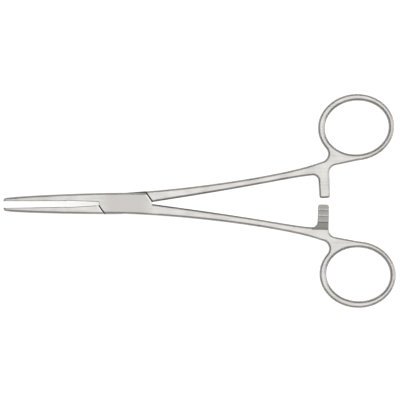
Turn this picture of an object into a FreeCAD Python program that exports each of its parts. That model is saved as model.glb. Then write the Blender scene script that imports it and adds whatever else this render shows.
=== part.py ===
# Straight haemostatic forceps with a box lock, 140 mm long, lying on the flat of the box.
#
# The instrument is two forged halves and the pin that joins them. One half carries the box,
# a slot between two cheeks. The other carries the tongue, which is threaded through the slot.
# Each half is drawn in the closed frame: the axis of the closed instrument is X, the pivot is
# the origin, the jaws point to -X and the finger rings to +X. It is then turned about the pivot
# by half_spread, so that the two rest slightly open, as the instrument is laid down.
# The underside of the box is at Z = 0.
import FreeCAD, Part
import math
import os
import Sketcher

Vector = FreeCAD.Vector

doc = FreeCAD.newDocument("haemostatic_forceps")
sizes = doc.addObject("Spreadsheet::Sheet", "sizes")

# Driving sizes in millimetres and degrees. "reach" is measured along the axis from the pivot,
# "off" away from the axis.
DRIVING = (
    # The two halves together
    ("half_spread", 1.5),
    ("full_opening", 63),
    # Jaws
    ("jaw_reach", 43.6),
    ("tip_off", 1.13),
    ("tip_gap", 0.03),
    ("tip_round", 0.95),
    ("tip_thickness", 2.1),
    ("jaw_bow_tip_run", 5.1),
    ("jaw_bow_tip_off", 2.28),
    ("jaw_bow_box_reach", 8.4),
    ("grip_end_reach", 21.2),
    ("grip_end_off", 0.42),
    ("relief_off", 0.62),
    ("grip_stock", 1),
    ("slot_end_reach", 9.6),
    ("slot_end_off", 0.35),
    ("groove_pitch", 0.8),
    ("groove_depth", 0.24),
    ("groove_land", 0.12),
    ("first_groove", 0.7),
    # Box lock
    ("box_thickness", 5.4),
    ("box_off", 3.77),
    ("cheek_thickness", 1.55),
    ("cheek_slant", 54),
    ("cheek_end_distance", 7.98),
    ("cheek_inner_off", 0.83),
    ("shoulder_gap", 0.42),
    ("tongue_side_gap", 0.05),
    ("hub_radius", 3.7),
    ("hub_gap", 0.12),
    ("neck_gap", 0.06),
    ("stop_margin", 2.5),
    ("pin_diameter", 2.4),
    ("pin_gap", 0.04),
    # Shanks
    ("crotch_reach", 9.45),
    ("crotch_off", 0.12),
    ("inner_bow_box_before_neck", 13.05),
    ("inner_bow_box_off", 5.16),
    ("inner_bow_ring_before_neck", 7.5),
    ("inner_end_off", 7.6),
    ("outer_bow_reach", 28.1),
    ("outer_bow_off", 4.41),
    ("neck_reach", 67.5),
    ("neck_off", 11.42),
    ("neck_angle", 16.3),
    ("neck_handle", 10.7),
    ("neck_run", 11),
    ("jaw_ramp", 12),
    ("shank_ramp", 7),
    ("shank_ramp_end", 24),
    # Finger rings
    ("hole_past_neck", 15.8),
    ("hole_before_ring_off", 0.1),
    ("hole_long_radius", 11.4),
    ("hole_short_radius", 9.55),
    ("ring_turn", 3.5),
    ("ring_past_neck", 15.55),
    ("ring_off", 24.1),
    ("ring_long_radius", 13.6),
    ("ring_short_radius", 11.85),
    ("ring_thickness", 3.4),
    ("web_start_off", 10.03),
    ("web_end_past_neck", 18.5),
    ("web_end_off", 12.7),
    ("outer_neck_round", 2.9),
    ("inner_neck_round", 2.8),
    ("ring_blend_round", 30),
    # Ratchet bars
    ("box_bar_past_neck", 2.95),
    ("tongue_bar_past_neck", 3.35),
    ("bar_width", 4.1),
    ("bar_lean", 0.25),
    ("bar_past_axis", 0.72),
    ("bar_root_off", 11),
    ("bar_root_round", 2),
    ("bar_tip_round", 0.8),
    ("tooth_pitch", 2.13),
    ("tooth_count", 3),
    ("last_tooth_off", 5.46),
    ("tooth_depth", 0.7),
    ("tooth_back", 0.16),
    ("tooth_gap", 0.06),
    ("tooth_relief_off", 8.23),
    ("tooth_relief_side", 1.9),
    ("tooth_cut_margin", 0.04),
    # Edges
    ("edge_round", 0.85),
    ("hole_round", 1.05),
    # How far a cutter stands past the metal that it cuts
    ("cutter_past", 4),
)

# Sizes that follow from the driving ones.
DERIVED = (
    ("mid_height", "box_thickness / 2"),
    ("tip_reach", "-jaw_reach"),
    ("jaw_bow_tip", "jaw_bow_tip_run - jaw_reach"),
    ("jaw_bow_box", "-jaw_bow_box_reach"),
    ("grip_end", "-grip_end_reach"),
    ("slot_end", "-slot_end_reach"),
    ("cheek_outer", "(cheek_end_distance - box_off * cos(cheek_slant)) / sin(cheek_slant)"),
    ("cheek_inner", "(cheek_end_distance - cheek_inner_off * cos(cheek_slant)) / sin(cheek_slant)"),
    ("neck_bow_reach", "neck_reach - neck_handle * cos(neck_angle)"),
    ("neck_bow_off", "neck_off - neck_handle * sin(neck_angle)"),
    ("strip_end_reach", "neck_reach + neck_run * cos(neck_angle)"),
    ("strip_end_off", "neck_off + neck_run * sin(neck_angle)"),
    ("inner_bow_box_reach", "neck_reach - inner_bow_box_before_neck"),
    ("inner_bow_ring_reach", "neck_reach - inner_bow_ring_before_neck"),
    # Rings and bars, from the neck of the shank
    ("ring_reach", "neck_reach + ring_past_neck"),
    ("hole_reach", "neck_reach + hole_past_neck"),
    ("hole_off", "ring_off - hole_before_ring_off"),
    ("web_end_reach", "neck_reach + web_end_past_neck"),
    ("box_bar_reach", "neck_reach + box_bar_past_neck"),
    ("tongue_bar_reach", "neck_reach + tongue_bar_past_neck"),
    # Slot of the box, seen in plan
    ("slot_height", "box_thickness - 2 * cheek_thickness"),
    ("slot_radius", "hub_radius + hub_gap"),
    ("cut_reach", "cheek_inner + cutter_past"),
    ("cut_off", "box_off + cutter_past"),
    ("web_corner", "sqrt(slot_radius ^ 2 - neck_gap ^ 2)"),
    ("stop_angle", "full_opening + stop_margin"),
    ("stop_foot_x", "-slot_radius * sin(stop_angle)"),
    ("stop_foot_y", "slot_radius * cos(stop_angle)"),
    ("stop_top_x", "stop_foot_x + (cut_off - stop_foot_y) / tan(stop_angle)"),
    # Tongue and its shoulders, in the closed frame of the half that carries them
    ("tongue_thickness", "slot_height - 2 * tongue_side_gap"),
    ("shoulder_slant", "cheek_slant + 2 * half_spread"),
    ("shoulder_distance", "cheek_end_distance + shoulder_gap"),
    ("shoulder_depth", "(box_thickness - tongue_thickness) / 2"),
    ("shoulder_low", "(shoulder_distance - cut_off * cos(shoulder_slant)) / sin(shoulder_slant)"),
    ("shoulder_high", "(shoulder_distance + cut_off * cos(shoulder_slant)) / sin(shoulder_slant)"),
    ("hub_corner", "sqrt(hub_radius ^ 2 - neck_gap ^ 2)"),
    ("pin_radius", "pin_diameter / 2"),
    ("pivot_bore", "pin_diameter + 2 * pin_gap"),
    # Side view
    ("profile_past", "box_thickness"),
    ("flat_reach", "cheek_inner + shoulder_gap"),
    ("jaw_end", "-jaw_reach - cutter_past"),
    ("ring_end", "ring_reach + ring_long_radius + cutter_past"),
    ("tip_top", "mid_height + tip_thickness / 2"),
    ("tip_bottom", "mid_height - tip_thickness / 2"),
    ("ring_top", "mid_height + ring_thickness / 2"),
    ("ring_bottom", "mid_height - ring_thickness / 2"),
    ("profile_top", "box_thickness + profile_past"),
    ("profile_low", "-profile_past"),
    ("box_flat_left", "-flat_reach"),
    ("jaw_ramp_end", "-flat_reach - jaw_ramp"),
    ("shank_ramp_start", "flat_reach + shank_ramp"),
    # Serrations and teeth
    ("grip_angle", "atan((grip_end_off - tip_gap) / (jaw_reach - grip_end_reach))"),
    ("grip_length", "(jaw_reach - grip_end_reach) / cos(grip_angle)"),
    ("groove_half", "(groove_pitch - groove_land) / 2"),
    ("groove_wide", "groove_half * (1 + cutter_past)"),
    ("groove_out", "groove_depth * cutter_past"),
    ("groove_count", "floor((grip_length - 2 * first_groove) / groove_pitch) + 1"),
    ("groove_run", "groove_pitch * (groove_count - 1)"),
    ("box_groove", "first_groove"),
    ("box_groove_left", "box_groove - groove_wide"),
    ("box_groove_right", "box_groove + groove_wide"),
    ("tongue_groove", "first_groove + groove_pitch / 2"),
    ("tongue_groove_left", "tongue_groove - groove_wide"),
    ("tongue_groove_right", "tongue_groove + groove_wide"),
    ("tooth_crest", "tooth_gap / 2"),
    ("tooth_root", "tooth_crest + tooth_depth"),
    ("tooth_run", "tooth_pitch * (tooth_count - 1)"),
    ("tooth_clear_off", "bar_past_axis + tooth_pitch"),
    ("tooth_before", "last_tooth_off - tooth_pitch"),
    ("tooth_drop", "tooth_before + tooth_back"),
    ("relief_drop", "last_tooth_off + tooth_back"),
    ("cut_height", "mid_height + cutter_past"),
    ("tooth_cut_length", "bar_width + tooth_relief_side + tooth_cut_margin"),
    ("box_half_bar_left", "box_bar_reach - bar_width / 2"),
    ("box_half_bar_tip_left", "box_half_bar_left + bar_lean"),
    ("box_half_bar_right", "box_bar_reach + bar_width / 2"),
    ("tongue_half_bar_left", "tongue_bar_reach - bar_width / 2"),
    ("tongue_half_bar_tip_left", "tongue_half_bar_left + bar_lean"),
    ("tongue_half_bar_right", "tongue_bar_reach + bar_width / 2"),
    ("box_half_tooth_start", "box_half_bar_right + tooth_cut_margin"),
    ("tongue_half_tooth_start", "tongue_half_bar_right + tooth_cut_margin"),
)


# Two points nearer than this are one.
TOUCHING = 0.0001
# The upright part of the normal of a wall, at most, and of a top or an underside, at least.
WALL = 0.2
FLAT = 0.8


def fill_sheet():
    """Write the driving sizes as plain numbers, and under them the formulas that follow."""
    row = 0
    for name, value in DRIVING:
        row += 1
        sizes.set("A%d" % row, name)
        sizes.set("B%d" % row, str(value))
        sizes.setAlias("B%d" % row, name)
    doc.recompute()
    for name, formula in DERIVED:
        row += 1
        sizes.set("A%d" % row, name)
        sizes.set("B%d" % row, "=" + formula)
        sizes.setAlias("B%d" % row, name)
    doc.recompute()


fill_sheet()


def size(cell):
    """Return a size from the sheet. A leading minus sign turns it round, None is zero."""
    if cell is None:
        return 0.0
    if cell.startswith("-"):
        return -float(sizes.get(cell[1:]))
    return float(sizes.get(cell))


def formula(cell):
    """Return the expression that binds a property to a cell of the sheet."""
    if cell.startswith("-"):
        return "-sizes." + cell[1:]
    return "sizes." + cell


def flip(cell):
    """Return the cell with its sign turned round."""
    if cell is None:
        return None
    return cell[1:] if cell.startswith("-") else "-" + cell


def new_sketch(body, name, role, height=None):
    """Attach a sketch to one of the body's own origin planes, at a height above it."""
    sketch = body.newObject("Sketcher::SketchObject", name)
    plane = [item for item in body.Origin.OriginFeatures if item.Role == role][0]
    sketch.AttachmentSupport = [(plane, "")]
    sketch.MapMode = "FlatFace"
    if height:
        sketch.setExpression("AttachmentOffset.Base.z", formula(height))
    return sketch


class Outline:
    """A closed outline in a sketch, with every corner tied to cells of the sheet.

    It can be mirrored about the sketch's X axis, or turned half round its origin.
    """

    def __init__(self, sketch, start, mirrored=False, turned=False):
        self.sketch = sketch
        self.mirrored = mirrored
        self.turned = turned
        self.start = self.place(start)
        self.here = self.start
        self.first = None
        self.last = None
        self.last_end = 2

    def place(self, corner):
        """Return a corner as the mirrored or turned outline has it."""
        across, up = corner
        if self.turned:
            across = flip(across)
        if self.turned != self.mirrored:
            up = flip(up)
        return across, up

    @staticmethod
    def point(corner):
        """Return a corner's position."""
        return Vector(size(corner[0]), size(corner[1]), 0)

    def tie(self, item, end, corner, one_way=False):
        """Tie one end of an item to the cells of a corner, an empty cell being an axis.

        An arc's far end is tied one way only, because its radius settles the other way.
        """
        pairs = [("DistanceX", corner[0], -2), ("DistanceY", corner[1], -1)]
        if one_way:
            pairs = pairs[:1] if corner[0] is None else pairs[1:]
        for kind, cell, axis in pairs:
            if cell is None:
                self.sketch.addConstraint(Sketcher.Constraint("PointOnObject", item, end, axis))
                continue
            rule = Sketcher.Constraint(kind, -1, 1, item, end, size(cell))
            number = self.sketch.addConstraint(rule)
            self.sketch.setExpression("Constraints[%d]" % number, formula(cell))

    def join(self, item, near=1, far=2):
        """Join a new item, by its near end, to the one before it."""
        if self.first is None:
            self.first = item
            self.tie(item, near, self.start)
        else:
            rule = Sketcher.Constraint("Coincident", self.last, self.last_end, item, near)
            self.sketch.addConstraint(rule)
        self.last = item
        self.last_end = far

    def line(self, *corners):
        """Draw straight lines to each corner in turn."""
        for corner in corners:
            corner = self.place(corner)
            line = Part.LineSegment(self.point(self.here), self.point(corner))
            item = self.sketch.addGeometry(line)
            self.join(item)
            self.tie(item, 2, corner)
            self.here = corner
        return self

    def curve(self, handle_a, handle_b, corner):
        """Draw a cubic curve to a corner, shaped by two handles."""
        handles = [self.place(handle_a), self.place(handle_b)]
        corner = self.place(corner)
        poles = [self.point(item) for item in [self.here] + handles + [corner]]
        spline = Part.BSplineCurve()
        spline.buildFromPolesMultsKnots(poles, [4, 4], [0, 1], False, 3)
        item = self.sketch.addGeometry(spline)
        self.sketch.exposeInternalGeometry(item)
        self.join(item)
        for number, handle in enumerate(handles):
            self.tie(item + 2 + number, 3, handle)
        self.tie(item, 2, corner)
        self.here = corner
        return self

    def arc(self, corner, clockwise):
        """Draw an arc about the pivot to a corner."""
        corner = self.place(corner)
        clockwise = clockwise != self.mirrored
        start, end = self.point(self.here), self.point(corner)
        angles = [math.atan2(start.y, start.x), math.atan2(end.y, end.x)]
        if clockwise:
            angles.reverse()
        if angles[1] < angles[0]:
            angles[1] += 2 * math.pi
        rim = Part.Circle(Vector(), Vector(0, 0, 1), start.Length)
        item = self.sketch.addGeometry(Part.ArcOfCircle(rim, *angles))
        near, far = (2, 1) if clockwise else (1, 2)
        self.sketch.addConstraint(Sketcher.Constraint("Coincident", item, 3, -1, 1))
        self.join(item, near, far)
        self.tie(item, far, corner, one_way=True)
        self.here = corner
        return self

    def close(self):
        """Draw the last line back to the start."""
        line = Part.LineSegment(self.point(self.here), self.point(self.start))
        item = self.sketch.addGeometry(line)
        self.join(item)
        self.sketch.addConstraint(Sketcher.Constraint("Coincident", item, 2, self.first, 1))


def ellipse(sketch, long_radius, short_radius):
    """Draw an ellipse about the sketch's own origin, its long axis along the sketch's X."""
    item = sketch.addGeometry(Part.Ellipse(Vector(), size(long_radius), size(short_radius)))
    sketch.exposeInternalGeometry(item)
    long_axis, short_axis = item + 1, item + 2
    sketch.addConstraint(Sketcher.Constraint("Coincident", item, 3, -1, 1))
    sketch.addConstraint(Sketcher.Constraint("PointOnObject", long_axis, 1, -1))
    for axis, cell in ((long_axis, long_radius), (short_axis, short_radius)):
        number = sketch.addConstraint(Sketcher.Constraint("Distance", axis, 2 * size(cell)))
        sketch.setExpression("Constraints[%d]" % number, "2 * " + formula(cell))


def circle(sketch, diameter):
    """Draw a circle about the sketch's own origin."""
    item = sketch.addGeometry(Part.Circle(Vector(), Vector(0, 0, 1), size(diameter) / 2))
    sketch.addConstraint(Sketcher.Constraint("Coincident", item, 3, -1, 1))
    number = sketch.addConstraint(Sketcher.Constraint("Diameter", item, size(diameter)))
    sketch.setExpression("Constraints[%d]" % number, formula(diameter))


def extrude(body, kind, sketch, name, length=None, way="both"):
    """Pad or pocket a sketch both ways, or one way from it, right through if no length is given."""
    before = body.Shape.Volume if body.Tip else 0
    feature = body.newObject("PartDesign::" + kind, name)
    feature.Profile = sketch
    feature.Midplane = way == "both"
    feature.Reversed = way == "up"
    if length is None:
        feature.Type = "ThroughAll"
    else:
        feature.setExpression("Length", formula(length))
    sketch.Visibility = False
    doc.recompute()
    change = feature.Shape.Volume - before
    if (change > 0) != (kind == "Pad"):
        raise RuntimeError(name + " changed the metal the wrong way")
    return feature


def is_upright(edge):
    """Tell whether an edge stands along Z, from the underside to the top."""
    ends = [vertex.Point for vertex in edge.Vertexes]
    if len(ends) != 2:
        return False
    step = ends[1] - ends[0]
    return abs(step.z) > size("tip_thickness") / 2 and math.hypot(step.x, step.y) < TOUCHING


def upright_edge(feature, corner):
    """Return the name of the upright edge nearest to a corner of the plan."""
    target = Outline.point(corner)
    found = []
    for number, edge in enumerate(feature.Shape.Edges):
        if is_upright(edge):
            at = edge.Vertexes[0].Point
            found.append((math.hypot(at.x - target.x, at.y - target.y), number + 1))
    return "Edge%d" % min(found)[1]


def round_edges(body, base, names, radius, name):
    """Round the named edges of a feature."""
    feature = body.newObject("PartDesign::Fillet", name)
    feature.Base = (base, names)
    feature.setExpression("Radius", formula(radius))
    doc.recompute()
    return feature


def rim_edges(feature):
    """Yield each edge where a side wall meets the top or the underside, with its middle."""
    shape = feature.Shape
    for number, edge in enumerate(shape.Edges):
        middle = edge.valueAt((edge.FirstParameter + edge.LastParameter) / 2)
        steep = []
        for face in shape.ancestorsOfType(edge, Part.Face):
            spot = face.Surface.parameter(middle)
            steep.append(abs(face.normalAt(*spot).z))
        if min(steep) < WALL and max(steep) > FLAT:
            yield "Edge%d" % (number + 1), middle


def in_hole(point, mirrored):
    """Tell whether a point of the plan is nearer to the finger hole than to the ring's outside."""
    side = 1 if mirrored else -1
    across = point.x - size("hole_reach")
    up = side * point.y - size("hole_off")
    turn = math.radians(size("ring_turn"))
    along = across * math.cos(turn) + up * math.sin(turn)
    beside = up * math.cos(turn) - across * math.sin(turn)
    long_radius = (size("hole_long_radius") + size("ring_long_radius")) / 2
    short_radius = (size("hole_short_radius") + size("ring_short_radius")) / 2
    return math.hypot(along / long_radius, beside / short_radius) < 1


def stays_sharp(point, mirrored):
    """Tell whether a point of the plan lies on an edge that is milled: the grip, or a cheek's end."""
    side = -1 if mirrored else 1
    along_grip = size("tip_reach") + size("tip_round") < point.x < -size("cheek_outer")
    beside_box = size("cheek_outer") < abs(point.x) < size("crotch_reach")
    on_grip = along_grip and side * point.y < size("tip_gap")
    return on_grip or (beside_box and abs(point.y) < size("box_off"))


def forge(name, mirrored, bar_reach):
    """Make the forging of one half: jaw, box block, shank, ratchet bar and finger ring.

    The jaw of the plain one lies above the axis and its ring below. The mirrored one is the
    other way round. Milling turns one into the box half and the other into the tongue half.
    """
    body = doc.addObject("PartDesign::Body", name)
    body.Label = name

    plan = new_sketch(body, name + "_plan", "XY_Plane", "mid_height")
    outline = Outline(plan, ("tip_reach", "-grip_stock"), mirrored)
    outline.line(("tip_reach", "tip_off"))
    outline.curve(("jaw_bow_tip", "jaw_bow_tip_off"), ("jaw_bow_box", "box_off"), (None, "box_off"))
    outline.line(("cheek_outer", "box_off"), ("cheek_inner", "cheek_inner_off"))
    outline.line(("crotch_reach", "-crotch_off"))
    outline.curve(("inner_bow_box_reach", "-inner_bow_box_off"),
                  ("inner_bow_ring_reach", "-inner_end_off"),
                  (bar_reach, "-inner_end_off"))
    outline.line((bar_reach, "-web_start_off"), ("web_end_reach", "-web_end_off"))
    outline.line(("strip_end_reach", "-strip_end_off"), ("neck_reach", "-neck_off"))
    outline.curve(("neck_bow_reach", "-neck_bow_off"), ("outer_bow_reach", "-outer_bow_off"),
                  (None, "-box_off"))
    outline.line(("-cheek_outer", "-box_off"), ("-cheek_inner", "-cheek_inner_off"))
    outline.close()
    extrude(body, "Pad", plan, name + "_blank", length="box_thickness")

    ring = new_sketch(body, name + "_ring_plan", "XY_Plane", "mid_height")
    place_ring(ring, "ring_reach", "ring_off", mirrored)
    ellipse(ring, "ring_long_radius", "ring_short_radius")
    extrude(body, "Pad", ring, name + "_ring", length="box_thickness")

    bar = new_sketch(body, name + "_bar_plan", "XY_Plane", "mid_height")
    draw_bar(bar, name, mirrored)
    extrude(body, "Pad", bar, name + "_bar", length="box_thickness")

    side = new_sketch(body, name + "_side_view", "XZ_Plane")
    draw_side_view(side)
    last = extrude(body, "Pocket", side, name + "_taper")

    corners = (
        ("tip_nose", "tip_round", ("tip_reach", "tip_off"), False),
        ("outer_neck", "outer_neck_round", ("strip_end_reach", "strip_end_off"), True),
        ("bar_front", "bar_root_round", (name + "_bar_left", "inner_end_off"), True),
        ("bar_back", "inner_neck_round", (name + "_bar_right", "web_start_off"), True),
        ("bar_tip_front", "bar_tip_round", (name + "_bar_left", "-bar_past_axis"), True),
        ("bar_tip_back", "bar_tip_round", (name + "_bar_right", "-bar_past_axis"), True),
        ("ring_blend", "ring_blend_round", ("web_end_reach", "web_end_off"), True),
    )
    for label, radius, corner, on_handle in corners:
        turned = mirrored != on_handle
        place = (corner[0], flip(corner[1]) if turned else corner[1])
        last = round_edges(body, last, [upright_edge(last, place)], radius, name + "_" + label)

    hole = new_sketch(body, name + "_hole_plan", "XY_Plane", "mid_height")
    place_ring(hole, "hole_reach", "hole_off", mirrored)
    ellipse(hole, "hole_long_radius", "hole_short_radius")
    last = extrude(body, "Pocket", hole, name + "_finger_hole")

    rims = [edge for edge, middle in rim_edges(last) if in_hole(middle, mirrored)]
    last = round_edges(body, last, rims, "hole_round", name + "_hole_rim")
    rims = [edge for edge, middle in rim_edges(last) if not stays_sharp(middle, mirrored)]
    round_edges(body, last, rims, "edge_round", name + "_outer_rim")
    return body


def place_ring(sketch, reach, off, mirrored):
    """Put a sketch's origin at the middle of a finger ring, turned with the ring."""
    sketch.setExpression("AttachmentOffset.Base.x", formula(reach))
    sketch.setExpression("AttachmentOffset.Base.y", formula(off if mirrored else "-" + off))
    turn = "ring_turn" if mirrored else "-ring_turn"
    sketch.setExpression("AttachmentOffset.Rotation.Angle", formula(turn))


def draw_bar(sketch, name, mirrored):
    """Draw the ratchet bar, which leans a little and reaches past the axis."""
    outline = Outline(sketch, (name + "_bar_left", "-bar_root_off"), mirrored)
    outline.line((name + "_bar_tip_left", "bar_past_axis"), (name + "_bar_right", "bar_past_axis"))
    outline.line((name + "_bar_right", "-bar_root_off"))
    outline.close()


def draw_side_view(sketch):
    """Draw the metal that is ground away above and below, seen from the side."""
    for mirrored in (False, True):
        top = {True: "bottom", False: "top"}[mirrored]
        box = None if mirrored else "box_thickness"
        beyond = "profile_low" if mirrored else "profile_top"
        outline = Outline(sketch, ("jaw_end", "tip_" + top))
        outline.line(("tip_reach", "tip_" + top))
        outline.curve(("jaw_bow_tip", "tip_" + top), ("jaw_ramp_end", box), ("box_flat_left", box))
        outline.line(("flat_reach", box))
        outline.curve(("shank_ramp_start", box), ("shank_ramp_end", "ring_" + top),
                      ("neck_reach", "ring_" + top))
        outline.line(("ring_end", "ring_" + top))
        outline.line(("ring_end", beyond), ("jaw_end", beyond))
        outline.close()


def mill_jaw(body, name, mirrored):
    """Mill the gripping face of the jaw, and the relief between it and the box."""
    plan = new_sketch(body, name + "_grip_plan", "XY_Plane", "mid_height")
    outline = Outline(plan, ("jaw_end", "tip_gap"), mirrored)
    outline.line(("tip_reach", "tip_gap"), ("grip_end", "grip_end_off"))
    outline.line(("grip_end", "relief_off"), ("slot_end", "slot_end_off"))
    outline.line(("-cheek_inner", "-cheek_inner_off"), ("-cheek_inner", "-cut_off"))
    outline.line(("jaw_end", "-cut_off"))
    outline.close()
    extrude(body, "Pocket", plan, name + "_grip")


def mill_bore(body, name, diameter):
    """Bore the half for the pin."""
    plan = new_sketch(body, name + "_bore_plan", "XY_Plane", "mid_height")
    circle(plan, diameter)
    extrude(body, "Pocket", plan, name + "_bore")


def mill_slot(body, name):
    """Cut the slot of the box between its cheeks, leaving a web at each end of it.

    The upper web is bounded by the arc that the hub turns in, by the neck of the tongue below
    and by the stop face, which the other half's edge meets when the instrument is wide open.
    The lower web is the same, turned half round.
    """
    plan = new_sketch(body, name + "_slot_plan", "XY_Plane", "mid_height")
    outline = Outline(plan, ("-cut_reach", "neck_gap"))
    outline.line(("-web_corner", "neck_gap"))
    outline.arc(("stop_foot_x", "stop_foot_y"), clockwise=True)
    outline.line(("stop_top_x", "cut_off"), ("cut_reach", "cut_off"), ("cut_reach", "-neck_gap"))
    outline.line(("web_corner", "-neck_gap"))
    outline.arc(("-stop_foot_x", "-stop_foot_y"), clockwise=True)
    outline.line(("-stop_top_x", "-cut_off"), ("-cut_reach", "-cut_off"))
    outline.close()
    extrude(body, "Pocket", plan, name + "_slot", length="slot_height")


def mill_tongue(body, name):
    """Thin the block to the tongue between its slanted shoulders, and shape its round hub."""
    for side, height, way in (("top", "box_thickness", "down"), ("underside", None, "up")):
        plan = new_sketch(body, name + "_shoulder_plan_" + side, "XY_Plane", height)
        outline = Outline(plan, ("-shoulder_low", "-cut_off"))
        outline.line(("shoulder_high", "-cut_off"), ("shoulder_low", "cut_off"))
        outline.line(("-shoulder_high", "cut_off"))
        outline.close()
        extrude(body, "Pocket", plan, name + "_shoulders_" + side, length="shoulder_depth", way=way)

    plan = new_sketch(body, name + "_neck_plan", "XY_Plane", "mid_height")
    for turned in (False, True):
        outline = Outline(plan, ("-cut_reach", "-neck_gap"), turned=turned)
        outline.line(("-hub_corner", "-neck_gap"))
        outline.arc((None, "hub_radius"), clockwise=True)
        outline.line((None, "cut_off"), ("-cut_reach", "cut_off"))
        outline.close()
    extrude(body, "Pocket", plan, name + "_neck")


def mill_grooves(body, name, mirrored, middle):
    """Cut the grooves across the gripping face of the jaw."""
    groove = new_sketch(body, name + "_groove_plan", "XY_Plane", "mid_height")
    groove.setExpression("AttachmentOffset.Base.x", formula("tip_reach"))
    groove.setExpression("AttachmentOffset.Base.y", formula("-tip_gap" if mirrored else "tip_gap"))
    turn = "-grip_angle" if mirrored else "grip_angle"
    groove.setExpression("AttachmentOffset.Rotation.Angle", formula(turn))
    outline = Outline(groove, (middle + "_left", "-groove_out"), mirrored)
    outline.line((middle, "groove_depth"), (middle + "_right", "-groove_out"))
    outline.close()
    first = extrude(body, "Pocket", groove, name + "_groove")
    repeat(body, first, groove, name + "_grooves", "groove_run", "groove_count")


def repeat(body, feature, sketch, name, run, count, reversed_way=False):
    """Repeat a feature along the X axis of its own sketch."""
    pattern = body.newObject("PartDesign::LinearPattern", name)
    pattern.Originals = [feature]
    pattern.Direction = (sketch, ["H_Axis"])
    pattern.Reversed = reversed_way
    pattern.setExpression("Length", formula(run))
    pattern.setExpression("Occurrences", formula(count))
    body.Tip = pattern
    doc.recompute()


def mill_teeth(body, name, mirrored):
    """Cut the ratchet teeth across the bar, facing up, or down on the mirrored half.

    The bar is first cut away to the crests, and beyond the last tooth to the roots. A wedge is
    then cut in front of each tooth, with its steep face toward the axis of the instrument.
    """
    level = new_sketch(body, name + "_tooth_level", "YZ_Plane", name + "_tooth_start")
    level.setExpression("AttachmentOffset.Base.y", formula("mid_height"))
    outline = Outline(level, ("tooth_clear_off", "-tooth_crest"), turned=mirrored)
    outline.line(("-last_tooth_off", "-tooth_crest"), ("-relief_drop", "-tooth_root"))
    outline.line(("-tooth_relief_off", "-tooth_root"), ("-tooth_relief_off", "cut_height"))
    outline.line(("tooth_clear_off", "cut_height"))
    outline.close()
    extrude(body, "Pocket", level, name + "_tooth_face", length="tooth_cut_length", way="down")

    wedge = new_sketch(body, name + "_tooth_plan", "YZ_Plane", name + "_tooth_start")
    wedge.setExpression("AttachmentOffset.Base.y", formula("mid_height"))
    outline = Outline(wedge, ("-tooth_before", "-tooth_crest"), turned=mirrored)
    outline.line(("-tooth_drop", "-tooth_root"), ("-last_tooth_off", "-tooth_crest"))
    outline.line(("-last_tooth_off", "cut_height"), ("-tooth_before", "cut_height"))
    outline.close()
    length = "tooth_cut_length"
    first = extrude(body, "Pocket", wedge, name + "_tooth_wedge", length=length, way="down")
    repeat(body, first, wedge, name + "_teeth", "tooth_run", "tooth_count", reversed_way=mirrored)


def turn_half(body, angle):
    """Turn a half about the pivot to where it rests."""
    body.setExpression("Placement.Rotation.Angle", formula(angle))


def make_box_half():
    """Make the half with the box, whose jaw lies above the axis."""
    body = forge("box_half", False, "box_bar_reach")
    mill_jaw(body, "box_half", False)
    mill_slot(body, "box_half")
    mill_bore(body, "box_half", "pin_diameter")
    mill_teeth(body, "box_half", False)
    mill_grooves(body, "box_half", False, "box_groove")
    turn_half(body, "-half_spread")
    return body


def make_tongue_half():
    """Make the half with the tongue, whose jaw lies below the axis."""
    body = forge("tongue_half", True, "tongue_bar_reach")
    mill_jaw(body, "tongue_half", True)
    mill_tongue(body, "tongue_half")
    mill_bore(body, "tongue_half", "pivot_bore")
    mill_teeth(body, "tongue_half", True)
    mill_grooves(body, "tongue_half", True, "tongue_groove")
    turn_half(body, "half_spread")
    return body


def make_pin():
    """Make the pivot pin, pressed into both cheeks and ground flush with them."""
    pin = doc.addObject("Part::Cylinder", "pivot_pin")
    pin.Label = "pivot_pin"
    pin.setExpression("Radius", formula("pin_radius"))
    pin.setExpression("Height", formula("box_thickness"))
    return pin


def check_all(parts):
    """Stop if any object failed to compute or any part isn't one sound solid."""
    doc.recompute()
    for item in doc.Objects:
        if "Invalid" in item.State or "Error" in item.State:
            raise RuntimeError(item.Name + " failed: " + item.getStatusString())
    for part in parts:
        if part.Shape.isNull() or not part.Shape.isValid() or len(part.Shape.Solids) != 1:
            raise RuntimeError(part.Label + " isn't one sound solid")


def main():
    """Build the three parts and write each to its own file."""
    parts = [make_box_half(), make_tongue_half(), make_pin()]
    check_all(parts)
    os.makedirs("parts", exist_ok=True)
    for part in parts:
        part.Shape.exportStep(os.path.join("parts", part.Label + ".step"))


main()
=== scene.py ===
"""Looks of a straight haemostatic forceps with a box lock, lying on a white table.

The two forged halves and the pivot pin come from the frame. This script gives them the finishes of
a hospital instrument: satin-brushed stainless steel, brighter where fingers and tissue meet it and
duller where it was only milled, with painted shade on the walls and in the milled hollows, and painted
highlights on some edges and crests. It adds the table, a soft light from above and the camera.
"""

import logging
import math
from dataclasses import dataclass
from enum import Enum

import bpy
from mathutils import Matrix, Vector


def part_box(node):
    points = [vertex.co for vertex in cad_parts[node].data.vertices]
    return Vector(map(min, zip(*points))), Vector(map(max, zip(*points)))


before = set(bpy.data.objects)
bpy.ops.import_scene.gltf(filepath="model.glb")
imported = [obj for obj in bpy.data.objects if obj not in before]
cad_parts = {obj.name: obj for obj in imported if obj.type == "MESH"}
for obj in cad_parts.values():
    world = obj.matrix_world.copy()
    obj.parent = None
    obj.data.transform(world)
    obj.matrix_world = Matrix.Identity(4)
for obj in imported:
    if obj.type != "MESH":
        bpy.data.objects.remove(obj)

logging.basicConfig(level=logging.INFO, format="%(levelname)s %(name)s: %(message)s")
log = logging.getLogger("forceps")

MM = 0.001
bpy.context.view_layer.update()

# How far each half is turned at rest from the closed instrument's axis, in degrees.
HALF_SPREAD = 1.5
# The height of the box's upper face, in millimetres.
BOX_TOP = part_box("box_half")[1][2] / MM
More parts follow.
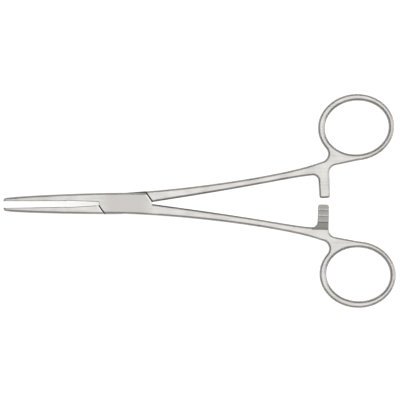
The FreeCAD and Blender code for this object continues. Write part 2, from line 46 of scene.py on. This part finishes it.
# The upright part of the normal on a wall, and how softly the walls' painted shade fades over the rim.
WALL_SHADE_SPAN = (-1.0, 0.66)
WALL_SHADE_FADE = 0.14
# The stretch along the instrument round the pin, in millimetres. The pin's ends and holes were
# ground flush there and have no broken edge.
PIN_SPAN = (-2.6, 2.6)
PIN_FADE = 0.1
# Half the width of the painted highlight along the crest of a ratchet tooth, in millimetres.
CREST_HIGHLIGHT_BAND = 0.16


class Socket(str, Enum):
    """Input sockets of the metal shader that the finishes set."""

    COLOUR = "Base Color"
    METALLIC = "Metallic"
    ROUGHNESS = "Roughness"
    ANISOTROPY = "Anisotropic"
    NORMAL = "Normal"


def linear(hex_colour: str) -> tuple[float, float, float, float]:
    """Turn an sRGB hex colour into the linear colour that the shaders take.

    Args:
        hex_colour: six hex digits, such as "d1cec9".

    Returns:
        Red, green, blue and an alpha of 1.
    """
    channels = [int(hex_colour[at:at + 2], 16) / 255 for at in (0, 2, 4)]
    plain = [c / 12.92 if c <= 0.04045 else ((c + 0.055) / 1.055) ** 2.4 for c in channels]
    return (*plain, 1.0)


def add_node(tree: bpy.types.NodeTree, kind: str, inputs: dict | None = None,
             **settings: object) -> bpy.types.Node:
    """Add a node with its settings, its plain input values and its links.

    Args:
        tree: the node tree that gets the node.
        kind: the type name of the node.
        inputs: socket name or number to a value, or to the output socket that feeds it.
        **settings: properties of the node itself.

    Returns:
        The new node.
    """
    node = tree.nodes.new(kind)
    for name, value in settings.items():
        setattr(node, name, value)
    for socket, value in (inputs or {}).items():
        if isinstance(value, bpy.types.NodeSocket):
            tree.links.new(value, node.inputs[socket])
        else:
            node.inputs[socket].default_value = value
    return node


def window(tree: bpy.types.NodeTree, value: bpy.types.NodeSocket, span: tuple[float, float],
           soft: float) -> bpy.types.NodeSocket:
    """Make a mask that is 1 where a value lies within a span, and 0 outside it.

    Args:
        tree: the node tree that gets the nodes.
        value: the value to be tested.
        span: the lowest and the highest value inside.
        soft: how far the mask fades to each side of an end of the span.

    Returns:
        The mask.
    """
    low, high = span
    rise = add_node(tree, "ShaderNodeMapRange", {0: value, 1: low - soft, 2: low + soft, 3: 0.0, 4: 1.0},
                    interpolation_type="SMOOTHSTEP")
    fall = add_node(tree, "ShaderNodeMapRange", {0: value, 1: high - soft, 2: high + soft, 3: 1.0, 4: 0.0},
                    interpolation_type="SMOOTHSTEP")
    both = add_node(tree, "ShaderNodeMath", {0: rise.outputs[0], 1: fall.outputs[0]}, operation="MULTIPLY")
    return both.outputs[0]


@dataclass(frozen=True)
class Zone:
    """A stretch of a half that was finished another way than the brushed faces.

    Spans are in millimetres in the half's own frame: along the closed instrument from the pivot, off
    its axis towards the half's jaw, and up from the underside. A span of None has no ends.

    The span off the axis can follow a line that leans, and can be repeated at a pitch. Some zones are
    painted shade or painted highlights rather than another finish.
    """

    colour: str
    roughness: float
    along: tuple[float, float]
    off: tuple[float, float] | None = None
    height: tuple[float, float] | None = None
    lean: float = 0.0
    pitch: float = 0.0
    soft: float = 0.06

    def mask(self, tree: bpy.types.NodeTree, axes: bpy.types.Node) -> bpy.types.NodeSocket:
        """Make the mask that is 1 inside the zone.

        Args:
            tree: the material's node tree.
            axes: the node whose outputs are the place along, off and up, in millimetres.

        Returns:
            The mask.
        """
        along, off, height = axes.outputs
        leaning = add_node(tree, "ShaderNodeMath", {0: along, 1: -self.lean, 2: off},
                           operation="MULTIPLY_ADD")
        off = leaning.outputs[0]
        masks = [window(tree, along, self.along, self.soft)]
        if self.off:
            masks.append(window(tree, off, self.off, self.soft))
        if self.height:
            masks.append(window(tree, height, self.height, self.soft))
        if self.pitch:
            masks.append(self.repeated(tree, off))
        whole = masks[0]
        for mask in masks[1:]:
            whole = add_node(tree, "ShaderNodeMath", {0: whole, 1: mask}, operation="MULTIPLY").outputs[0]
        return whole

    def repeated(self, tree: bpy.types.NodeTree, off: bpy.types.NodeSocket) -> bpy.types.NodeSocket:
        """Make the mask of the narrow bands that repeat from the zone's start.

        Args:
            tree: the material's node tree.
            off: the place off the axis, in millimetres.

        Returns:
            The mask.
        """
        from_start = add_node(tree, "ShaderNodeMath", {0: off, 1: self.off[0]}, operation="SUBTRACT")
        to_band = add_node(tree, "ShaderNodeMath", {0: from_start.outputs[0], 1: self.pitch / 2},
                           operation="PINGPONG")
        return window(tree, to_band.outputs[0], (-CREST_HIGHLIGHT_BAND, CREST_HIGHLIGHT_BAND), self.soft)


# The two cheeks were ground flat together after the pin was pressed in, which left them duller.
CHEEKS = Zone("dad7d3", 0.34, along=(-7.5, 8.0), soft=2.6)
# Painted highlights: the slanted edges that face the rings at the box's ends are painted white, for the
# bright reflection of chamfers that these edges lack.
# Each leans by the tangent of its slant, which is 54 degrees on the cheek and 57 on the shoulder.
CHEEK_EDGE_PAINTED_HIGHLIGHT = Zone("ffffff", 0.3, along=(6.9, 9.5), off=(12.8, 13.75), lean=-1.376, soft=0.12)
SHOULDER_EDGE_PAINTED_HIGHLIGHT = Zone("ffffff", 0.3, along=(-10.3, -7.2), off=(15.2, 16.25), lean=1.54, soft=0.12)
# The tongue was only milled, and its dark grey is also painted shade, where the cheeks shade it.
TONGUE_PAINTED_SHADE = Zone("706e6a", 0.5, along=(-9.9, 9.9), height=(1.45, 3.95))
# The gripping face and the relief behind it were milled, and so was the edge that they share with
# the top and the underside. Their darker grey is partly that milled finish and partly painted shade
# along the jaws' inner edges.
GRIP_AND_PAINTED_SHADE = Zone("8b8884", 0.42, along=(-44.0, -21.2), off=(-2.0, 1.05), lean=0.0174)
RELIEF_AND_PAINTED_SHADE = Zone("9d9a95", 0.42, along=(-21.2, -9.3), off=(-2.0, 0.34), lean=-0.0233)
# The toothed face of the ratchet bar and the recess behind its teeth were milled.
TEETH = Zone("e2dfdb", 0.4, along=(65.8, 73.2), off=(-5.5, 1.3), height=(1.85, 2.8))
# The recess's darker grey is partly its milled finish and partly painted shade under the bar's wall.
RECESS_AND_PAINTED_SHADE = Zone("a3a09c", 0.42, along=(65.8, 73.2), off=(-8.6, -5.5), height=(1.85, 4.25))
# Painted highlights: the teeth's crests are painted brighter where they catch the light, and they are
# smoother.
CREST_HIGHLIGHTS = Zone("f4f2ef", 0.26, along=(65.8, 73.2), off=(-5.3, 1.3), height=(1.85, 2.8), pitch=2.13)


@dataclass(frozen=True)
class SatinSteel:
    """Hardened stainless steel, ground and then brushed to a satin that hides glare.

    The brushing leaves hair-fine lines along the instrument. They blur what the metal reflects, so
    a face shows an even pale grey and an edge turns dark where it faces the room. The side walls
    were ground but not brushed, and their darker grey is painted shade that darkens the rims.

    The real lines are about 0.03 mm wide, too fine to show from here, so they are drawn wider.
    """

    name: str
    zones: tuple[Zone, ...]
    turned_over: bool = False
    bright: str = "f7f5f1"
    dull: str = "d6d3cf"
    # The darker grey of the side walls is painted shade.
    wall: str = "a3a09c"
    roughness: tuple[float, float] = (0.26, 0.36)
    sheen_span: tuple[float, float] = (0.36, 0.64)
    line_width_mm: float = 0.45
    line_run_mm: float = 14.0
    line_depth_mm: float = 0.002
    line_strength: float = 0.35
    line_detail: float = 3.0
    line_mix: float = 0.6
    cloud_mm: float = 6.0
    cloud_detail: float = 2.0
    broken_edge_mm: float = 0.25
    broken_edge_samples: int = 6
    anisotropy: float = 0.3

    def axes(self, tree: bpy.types.NodeTree) -> bpy.types.Node:
        """Give the place in the half's own frame, in millimetres.

        One half is the other turned over about the axis of the closed instrument, apart from what is
        milled, so that both are drawn with the same zones.

        Args:
            tree: the material's node tree.

        Returns:
            The node that maps the place.
        """
        place = add_node(tree, "ShaderNodeTexCoord").outputs["Object"]
        side = -1.0 if self.turned_over else 1.0
        return add_node(tree, "ShaderNodeMapping", {
            "Vector": place,
            "Location": (0.0, 0.0, BOX_TOP if self.turned_over else 0.0),
            "Rotation": (0.0, 0.0, math.radians(HALF_SPREAD)),
            "Scale": (1 / MM, side / MM, side / MM),
        })

    def make(self) -> bpy.types.Material:
        """Build the material.

        Returns:
            The new material.
        """
        material = bpy.data.materials.new(self.name)
        material.use_nodes = True
        tree = material.node_tree
        tree.nodes.clear()
        place = self.axes(tree).outputs[0]
        axes = add_node(tree, "ShaderNodeSeparateXYZ", {0: place})
        lines = self.brushed_lines(tree, place)
        tint, rough = self.zoned(tree, axes, self.sheen(tree, place, lines))
        bump = add_node(tree, "ShaderNodeBump", {
            "Strength": self.line_strength,
            "Distance": self.line_depth_mm * MM,
            "Height": lines,
            "Normal": self.broken_edge(tree, axes),
        })
        metal = add_node(tree, "ShaderNodeBsdfPrincipled", {
            Socket.COLOUR.value: tint,
            Socket.METALLIC.value: 1.0,
            Socket.ROUGHNESS.value: rough,
            Socket.ANISOTROPY.value: self.anisotropy,
            Socket.NORMAL.value: bump.outputs[0],
        })
        add_node(tree, "ShaderNodeOutputMaterial", {"Surface": metal.outputs[0]})
        return material

    def brushed_lines(self, tree: bpy.types.NodeTree,
                      place: bpy.types.NodeSocket) -> bpy.types.NodeSocket:
        """Draw the lines of the brushing along the instrument.

        Args:
            tree: the material's node tree.
            place: the place in the half's own frame, in millimetres.

        Returns:
            The height of the lines, about 0.5 in the middle.
        """
        stretch = (1 / self.line_run_mm, 1 / self.line_width_mm, 1 / self.line_width_mm)
        along = add_node(tree, "ShaderNodeMapping", {"Vector": place, "Scale": stretch})
        lines = add_node(tree, "ShaderNodeTexNoise", {
            "Vector": along.outputs[0],
            "Scale": 1.0,
            "Detail": self.line_detail,
            "Roughness": self.line_mix,
        })
        return lines.outputs[0]

    def sheen(self, tree: bpy.types.NodeTree, place: bpy.types.NodeSocket,
              lines: bpy.types.NodeSocket) -> bpy.types.NodeSocket:
        """Mix the lines with soft clouds where the hand pressed harder or lighter.

        Args:
            tree: the material's node tree.
            place: the place in the half's own frame, in millimetres.
            lines: the height of the brushed lines.

        Returns:
            The mask that is 0 on the dull places and 1 on the bright ones.
        """
        clouds = add_node(tree, "ShaderNodeTexNoise",
                          {"Vector": place, "Scale": 1 / self.cloud_mm, "Detail": self.cloud_detail})
        both = add_node(tree, "ShaderNodeMath", {0: lines, 1: clouds.outputs[0]}, operation="ADD")
        half = add_node(tree, "ShaderNodeMath", {0: both.outputs[0], 1: 0.5}, operation="MULTIPLY")
        dullest, brightest = self.sheen_span
        sheen = add_node(tree, "ShaderNodeMapRange", {0: half.outputs[0], 1: dullest, 2: brightest})
        return sheen.outputs[0]

    def zoned(self, tree: bpy.types.NodeTree, axes: bpy.types.Node,
              sheen: bpy.types.NodeSocket) -> tuple[bpy.types.NodeSocket, bpy.types.NodeSocket]:
        """Work out the tint and the roughness, with the zones and the walls' painted shade laid over them.

        Args:
            tree: the material's node tree.
            axes: the node whose outputs are the place along, off and up, in millimetres.
            sheen: the mask that is 1 on the brightest brushed places.

        Returns:
            The tint and the roughness.
        """
        low, high = self.roughness
        tint = add_node(tree, "ShaderNodeMix", {0: sheen, 6: linear(self.dull), 7: linear(self.bright)},
                        data_type="RGBA").outputs[2]
        rough = add_node(tree, "ShaderNodeMix", {0: sheen, 2: low, 3: high}, data_type="FLOAT").outputs[0]
        for zone in self.zones:
            mask = zone.mask(tree, axes)
            tint = add_node(tree, "ShaderNodeMix", {0: mask, 6: tint, 7: linear(zone.colour)},
                            data_type="RGBA").outputs[2]
            rough = add_node(tree, "ShaderNodeMix", {0: mask, 2: rough, 3: zone.roughness},
                             data_type="FLOAT").outputs[0]
        # The upright walls are darkened with painted shade.
        darker = add_node(tree, "ShaderNodeMix", {0: self.painted_wall_shade_mask(tree), 6: tint, 7: linear(self.wall)},
                          data_type="RGBA", blend_type="DARKEN")
        return darker.outputs[2], rough

    def broken_edge(self, tree: bpy.types.NodeTree, axes: bpy.types.Node) -> bpy.types.NodeSocket:
        """Round the shading of the sharp edges, apart from those of the pin and its holes.

        Args:
            tree: the material's node tree.
            axes: the node whose outputs are the place along, off and up, in millimetres.

        Returns:
            The rounded normal.
        """
        flush = window(tree, axes.outputs[0], PIN_SPAN, PIN_FADE)
        radius = add_node(tree, "ShaderNodeMapRange", {0: flush, 3: self.broken_edge_mm * MM, 4: 0.0})
        edge = add_node(tree, "ShaderNodeBevel", {"Radius": radius.outputs[0]},
                        samples=self.broken_edge_samples)
        return edge.outputs[0]

    @staticmethod
    def painted_wall_shade_mask(tree: bpy.types.NodeTree) -> bpy.types.NodeSocket:
        """Make the mask that is 1 on an upright wall and 0 on a level face.

        Args:
            tree: the material's node tree.

        Returns:
            The mask.
        """
        normal = add_node(tree, "ShaderNodeTexCoord").outputs["Normal"]
        level = add_node(tree, "ShaderNodeSeparateXYZ", {0: normal}).outputs["Z"]
        level = add_node(tree, "ShaderNodeMath", {0: level}, operation="ABSOLUTE").outputs[0]
        return window(tree, level, WALL_SHADE_SPAN, WALL_SHADE_FADE)


@dataclass(frozen=True)
class Piece:
    """One piece of the forceps as the frame gives it, and its finish."""

    node: str
    finish: SatinSteel

    def dress(self) -> None:
        """Give the piece its finish."""
        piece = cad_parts[self.node]
        piece.data.materials.clear()
        piece.data.materials.append(self.finish.make())
        log.info("%s dressed in %s", self.node, self.finish.name)


@dataclass(frozen=True)
class Forceps:
    """The forceps: two forged halves and the pin that joins them."""

    # Beside the milled faces, these zones hold the cheeks' grind, painted shade and painted highlights.
    milled: tuple[Zone, ...] = (CHEEKS, GRIP_AND_PAINTED_SHADE, RELIEF_AND_PAINTED_SHADE, TEETH, RECESS_AND_PAINTED_SHADE, CREST_HIGHLIGHTS)

    def pieces(self) -> tuple[Piece, ...]:
        """List the pieces with their finishes.

        Returns:
            The box half, the tongue half and the pin.
        """
        box_steel = SatinSteel("satin_steel_of_the_box_half", self.milled + (CHEEK_EDGE_PAINTED_HIGHLIGHT,))
        tongue_steel = SatinSteel("satin_steel_of_the_tongue_half", self.milled + (SHOULDER_EDGE_PAINTED_HIGHLIGHT, TONGUE_PAINTED_SHADE),
                                  turned_over=True)
        pin_steel = SatinSteel("satin_steel_ground_flush", (CHEEKS,))
        return (
            Piece("box_half", box_steel),
            Piece("tongue_half", tongue_steel),
            Piece("pivot_pin", pin_steel),
        )

    def dress(self) -> None:
        """Give each piece its finish."""
        for piece in self.pieces():
            piece.dress()


@dataclass
class Studio:
    """The white table, the soft light above it and the room beyond."""

    table_size: float = 3.0
    table_drop: float = 0.0003
    table_colour: str = "f4f4f4"
    table_glow: float = 0.72
    room_top: float = 0.3
    room_horizon: float = 0.12
    softbox_side: float = 1.1
    softbox_level: float = 0.72
    softbox_place: tuple[float, float, float] = (0.12, 0.1, 1.05)
    card_side: float = 0.7
    card_level: float = 0.85
    card_place: tuple[float, float, float] = (1.1, 0.0, 0.5)

    def build(self) -> None:
        """Build the table, the room and the lamps."""
        self.lay_table()
        self.light_room()
        self.hang_lamp("overhead_softbox", Vector(self.softbox_place), self.softbox_side, self.softbox_level)
        self.hang_lamp("ring_side_card", Vector(self.card_place), self.card_side, self.card_level)

    def lay_table(self) -> None:
        """Lay the table top just under the instrument."""
        bpy.ops.mesh.primitive_plane_add(size=self.table_size, location=(0, 0, -self.table_drop))
        table = bpy.context.object
        table.name = "table_top"
        material = bpy.data.materials.new("white_laminate_table")
        material.use_nodes = True
        tree = material.node_tree
        tree.nodes.clear()
        rays = add_node(tree, "ShaderNodeLightPath")
        seen = add_node(tree, "ShaderNodeMath", {0: rays.outputs["Is Camera Ray"],
                                                 1: rays.outputs["Is Glossy Ray"]}, operation="MAXIMUM")
        seen = add_node(tree, "ShaderNodeMath", {0: seen.outputs[0],
                                                 1: rays.outputs["Is Transmission Ray"]}, operation="MAXIMUM")
        matt = add_node(tree, "ShaderNodeBsdfDiffuse", {"Color": linear(self.table_colour)})
        strength = add_node(tree, "ShaderNodeMath", {0: seen.outputs[0], 1: self.table_glow},
                            operation="MULTIPLY")
        glow = add_node(tree, "ShaderNodeEmission", {"Color": (1, 1, 1, 1), "Strength": strength.outputs[0]})
        both = add_node(tree, "ShaderNodeAddShader", {0: matt.outputs[0], 1: glow.outputs[0]})
        add_node(tree, "ShaderNodeOutputMaterial", {"Surface": both.outputs[0]})
        table.data.materials.append(material)

    def light_room(self) -> None:
        """Light the room from above, darker towards the horizon, white where the camera sees it."""
        world = bpy.data.worlds.new("soft_room")
        bpy.context.scene.world = world
        world.use_nodes = True
        tree = world.node_tree
        tree.nodes.clear()
        way = add_node(tree, "ShaderNodeTexCoord").outputs["Generated"]
        up = add_node(tree, "ShaderNodeSeparateXYZ", {0: way}).outputs["Z"]
        level = add_node(tree, "ShaderNodeMapRange", {0: up, 1: 0.0, 2: 1.0, 3: self.room_horizon,
                                                      4: self.room_top}, interpolation_type="SMOOTHSTEP")
        seen = add_node(tree, "ShaderNodeLightPath").outputs["Is Camera Ray"]
        pick = add_node(tree, "ShaderNodeMix", {0: seen, 2: level.outputs[0], 3: 1.0}, data_type="FLOAT")
        light = add_node(tree, "ShaderNodeBackground", {"Color": (1, 1, 1, 1), "Strength": pick.outputs[0]})
        add_node(tree, "ShaderNodeOutputWorld", {"Surface": light.outputs[0]})

    def hang_lamp(self, name: str, place: Vector, side: float, level: float) -> None:
        """Hang a square softbox that faces the instrument.

        Args:
            name: the lamp's name.
            place: where its middle hangs, in metres.
            side: the length of its side, in metres.
            level: how bright it looks, where 1 is white.
        """
        data = bpy.data.lights.new(name, "AREA")
        data.shape = "SQUARE"
        data.size = side
        data.energy = level * math.pi * side ** 2
        lamp = bpy.data.objects.new(name, data)
        lamp.location = place
        lamp.rotation_euler = (-place).to_track_quat("-Z", "Y").to_euler()
        bpy.context.scene.collection.objects.link(lamp)


@dataclass
class PhotoCamera:
    """A long lens straight above the instrument, framed as in the photograph."""

    picture_pixels: int = 400
    mm_per_pixel: float = 0.3575
    pivot_pixel: tuple[float, float] = (125.9, 203.3)
    roll_degrees: float = 0.59
    height: float = 1.0
    sensor_mm: float = 36.0

    def build(self) -> None:
        """Set up the camera."""
        view_width = self.picture_pixels * self.mm_per_pixel * MM
        data = bpy.data.cameras.new("photo_camera")
        data.sensor_fit = "HORIZONTAL"
        data.sensor_width = self.sensor_mm
        data.lens = self.sensor_mm * self.height / view_width
        middle = self.picture_pixels / 2
        across = (middle - self.pivot_pixel[0]) * self.mm_per_pixel * MM
        up = (self.pivot_pixel[1] - middle) * self.mm_per_pixel * MM
        turn = Matrix.Rotation(-math.radians(self.roll_degrees), 3, "Z")
        camera = bpy.data.objects.new("photo_camera", data)
        camera.location = turn @ Vector((across, up, self.height))
        camera.rotation_euler = (0, 0, -math.radians(self.roll_degrees))
        bpy.context.scene.collection.objects.link(camera)
        bpy.context.scene.camera = camera


def main() -> None:
    """Dress the forceps and set the scene."""
    bpy.context.scene.view_settings.view_transform = "Standard"
    Forceps().dress()
    Studio().build()
    PhotoCamera().build()


if __name__ == "__main__":
    main()
